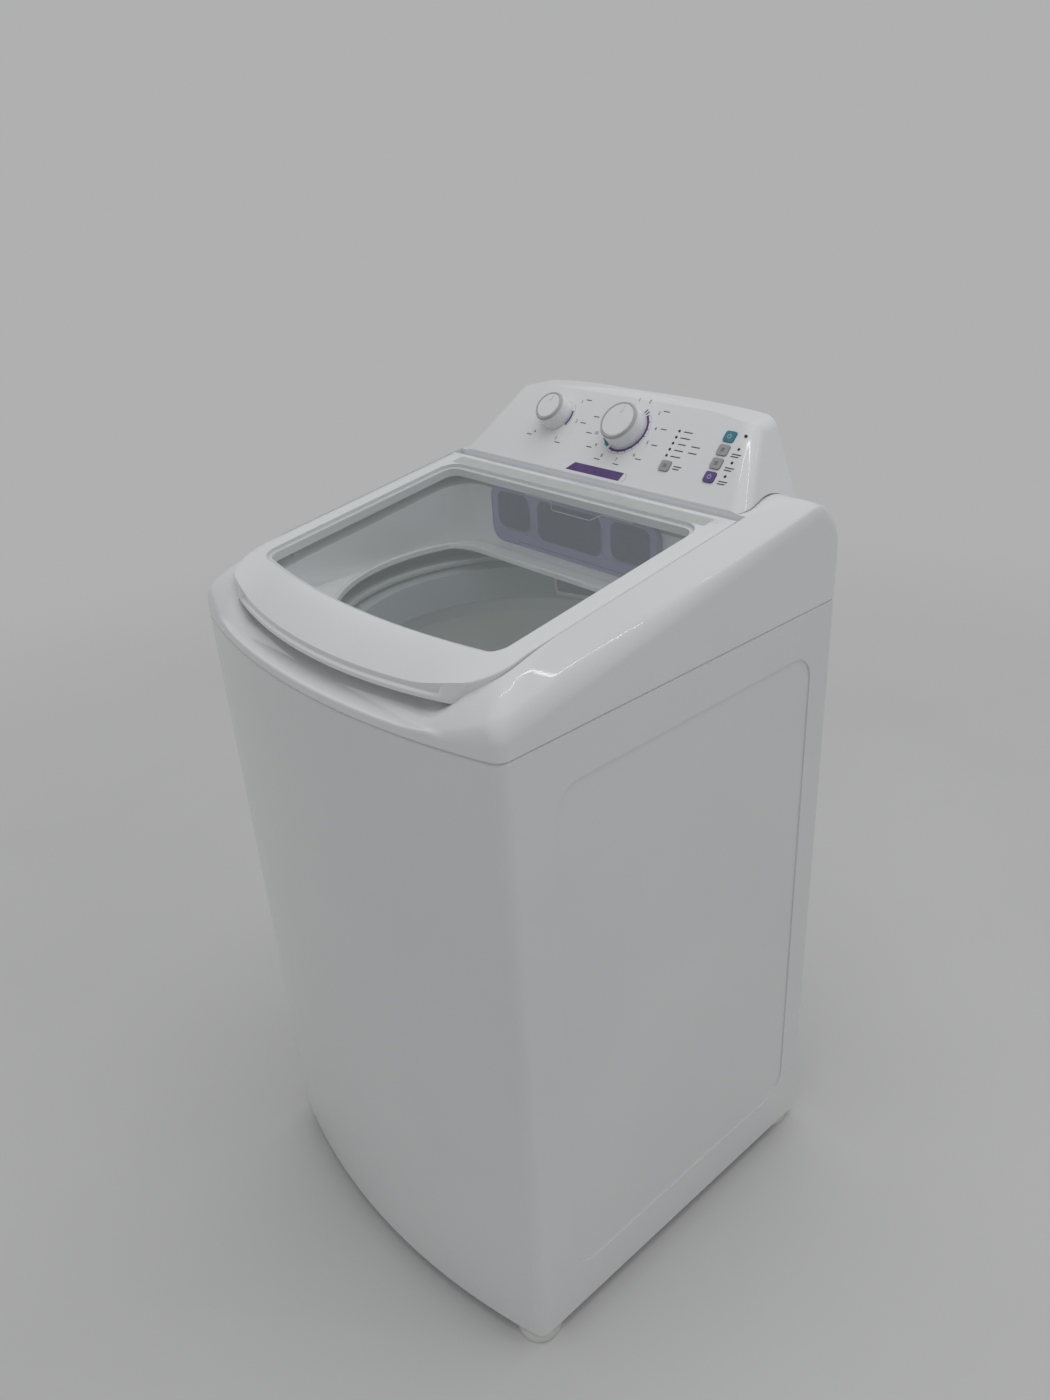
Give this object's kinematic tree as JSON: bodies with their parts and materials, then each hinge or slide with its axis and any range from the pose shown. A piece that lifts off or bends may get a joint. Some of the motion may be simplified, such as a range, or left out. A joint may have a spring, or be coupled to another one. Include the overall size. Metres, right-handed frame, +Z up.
{
  "type": "top load washing machine",
  "caption": "White top load washing machine with a sloping lid with a tinted window, a tilted control console with knobs and keys, and an agitator in a spinning basket",
  "frame": {"origin": "middle of the machine's box on the floor", "axes": "+Z up, +X to the right as the user faces the machine, -Y towards the user"},
  "size_m": [0.54, 0.574, 1.0423],
  "materials": {
    "white_enamel": "gloss enamel on steel sheet",
    "white_moulding": "gloss moulded white",
    "white_knob": "gloss moulded white",
    "tinted_glass": "grey-green tinted, clear",
    "silver_grey": "satin silver grey",
    "grey_key": "satin grey",
    "teal_key": "satin teal",
    "purple_key": "satin purple",
    "lamp_lens": "dark lens",
    "violet_tray": "translucent blue violet",
    "blue_grey_ring": "gloss blue grey",
    "basket_grey": "gloss pale grey green",
    "tub_plastic": "natural moulded white",
    "galvanised": "zinc coated sheet",
    "bright_steel": "machined steel",
    "cast_aluminium": "as cast",
    "motor_paint": "dark enamel",
    "black_rubber": "matt",
    "white_rubber": "matt white",
    "board_green": "coated circuit board",
    "black_moulding": "moulded black"
  },
  "bodies": {
    "cabinet": {"cabinet_shell": "white_enamel", "back_panel": "galvanised", "back_panel_screws": "bright_steel", "base_frame": "tub_plastic", "rear_feet": "white_rubber", "top_cover": "white_moulding", "lid_bumpers": "white_rubber", "console": "white_moulding", "program_selector": "black_moulding", "level_selector": "black_moulding", "indicator_lamps": "lamp_lens", "control_board": "board_green", "button_switches": "black_moulding", "dispenser_housing": "tub_plastic", "inlet_valve": "white_moulding", "fill_hose": "black_rubber", "drain_outlet": "tub_plastic", "cord_gland": "black_moulding", "corner_brackets": "galvanised", "suspension_rods": "bright_steel", "suspension_springs": "bright_steel", "drain_hose": "black_rubber"},
    "lid": {"lid_frame": "white_moulding", "lid_glass": "tinted_glass", "lid_hinge_pins": "bright_steel"},
    "program_dial": {"program_knob": "white_knob", "program_knob_bezel": "silver_grey"},
    "level_dial": {"level_knob": "white_knob", "level_knob_bezel": "silver_grey"},
    "start_key": {"start_button": "teal_key"},
    "agitation_key": {"agitation_button": "grey_key"},
    "spin_key": {"spin_button": "grey_key"},
    "reuse_key": {"reuse_button": "purple_key"},
    "skip_key": {"skip_button": "grey_key"},
    "drawer": {"dispenser_drawer": "violet_tray"},
    "tub": {"outer_tub": "tub_plastic", "tub_ring": "tub_plastic", "tub_bearings": "bright_steel", "tub_seal": "black_rubber", "drive_bracket": "galvanised", "gear_case": "cast_aluminium", "drive_belt": "black_rubber", "drive_motor": "motor_paint", "capacitor": "black_moulding", "drain_pump": "black_moulding"},
    "basket": {"basket": "basket_grey", "basket_rim": "white_moulding", "balance_ring": "blue_grey_ring", "basket_hub": "cast_aluminium", "spin_tube": "bright_steel"},
    "agitator": {"agitator": "white_moulding", "agitator_cap": "white_moulding", "agitator_bolt": "bright_steel", "drive_shaft": "bright_steel"},
    "filter": {"lint_filter": "white_moulding"},
    "pulley": {"driven_pulley": "cast_aluminium"},
    "motor_wheel": {"motor_pulley": "cast_aluminium"},
    "impeller": {"pump_impeller": "white_moulding"},
    "foot_left": {"levelling_foot_left": "white_rubber"},
    "foot_right": {"levelling_foot_right": "white_rubber"}
  },
  "joints": [
    {"name": "lid_hinge", "type": "hinge", "parent": "cabinet", "child": "lid", "pos_m": [0, 0.12317, 0.94045], "axis": [-1, 0, 0], "range_deg": [0, 100]},
    {"name": "program_turn", "type": "hinge", "parent": "cabinet", "child": "program_dial", "pos_m": [0.022, 0.18493, 1.00777], "axis": [0, -0.7193, 0.6947], "continuous": true},
    {"name": "level_turn", "type": "hinge", "parent": "cabinet", "child": "level_dial", "pos_m": [-0.098, 0.18632, 1.00921], "axis": [0, -0.7193, 0.6947], "range_deg": [-135, 135]},
    {"name": "start_press", "type": "slide", "parent": "cabinet", "child": "start_key", "axis": [0, 0.7193, -0.6947], "range_m": [0, 0.0012], "stiffness_N_per_m": 300},
    {"name": "agitation_press", "type": "slide", "parent": "cabinet", "child": "agitation_key", "axis": [0, 0.7193, -0.6947], "range_m": [0, 0.0012], "stiffness_N_per_m": 300},
    {"name": "spin_press", "type": "slide", "parent": "cabinet", "child": "spin_key", "axis": [0, 0.7193, -0.6947], "range_m": [0, 0.0012], "stiffness_N_per_m": 300},
    {"name": "reuse_press", "type": "slide", "parent": "cabinet", "child": "reuse_key", "axis": [0, 0.7193, -0.6947], "range_m": [0, 0.0012], "stiffness_N_per_m": 300},
    {"name": "skip_press", "type": "slide", "parent": "cabinet", "child": "skip_key", "axis": [0, 0.7193, -0.6947], "range_m": [0, 0.0012], "stiffness_N_per_m": 300},
    {"name": "drawer_slide", "type": "slide", "parent": "cabinet", "child": "drawer", "axis": [0, -0.9883, -0.1525], "range_m": [0, 0.075]},
    {"name": "tub_bounce", "type": "slide", "parent": "cabinet", "child": "tub", "axis": [0, 0, 1], "range_m": [-0.02, 0.012], "stiffness_N_per_m": 14000, "springref_m": 0.01626, "deforming": ["suspension_springs", "drain_hose"]},
    {"name": "basket_spin", "type": "hinge", "parent": "tub", "child": "basket", "pos_m": [0, 0.005, 0.5], "axis": [0, 0, 1], "continuous": true},
    {"name": "agitator_spin", "type": "hinge", "parent": "basket", "child": "agitator", "pos_m": [0, 0.005, 0.4], "axis": [0, 0, 1], "continuous": true},
    {"name": "filter_slide", "type": "slide", "parent": "basket", "child": "filter", "axis": [0.3256, -0.9455, 0], "range_m": [0, 0.025]},
    {"name": "pulley_spin", "type": "hinge", "parent": "tub", "child": "pulley", "pos_m": [0, 0.005, 0.117], "axis": [0, 0, 1], "continuous": true},
    {"name": "motor_spin", "type": "hinge", "parent": "tub", "child": "motor_wheel", "pos_m": [0.14, 0.005, 0.117], "axis": [0, 0, 1], "continuous": true},
    {"name": "pump_spin", "type": "hinge", "parent": "tub", "child": "impeller", "pos_m": [-0.14, 0.065, 0.177], "axis": [0, 0, 1], "continuous": true},
    {"name": "foot_left_screw", "type": "slide", "parent": "cabinet", "child": "foot_left", "axis": [0, 0, -1], "range_m": [0, 0.012]},
    {"name": "foot_right_screw", "type": "slide", "parent": "cabinet", "child": "foot_right", "axis": [0, 0, -1], "range_m": [0, 0.012]}
  ],
  "couplings": [
    {"joint": "pulley_spin", "follows": "agitator_spin", "ratio": 4},
    {"joint": "motor_spin", "follows": "agitator_spin", "ratio": 14.316}
  ]
}
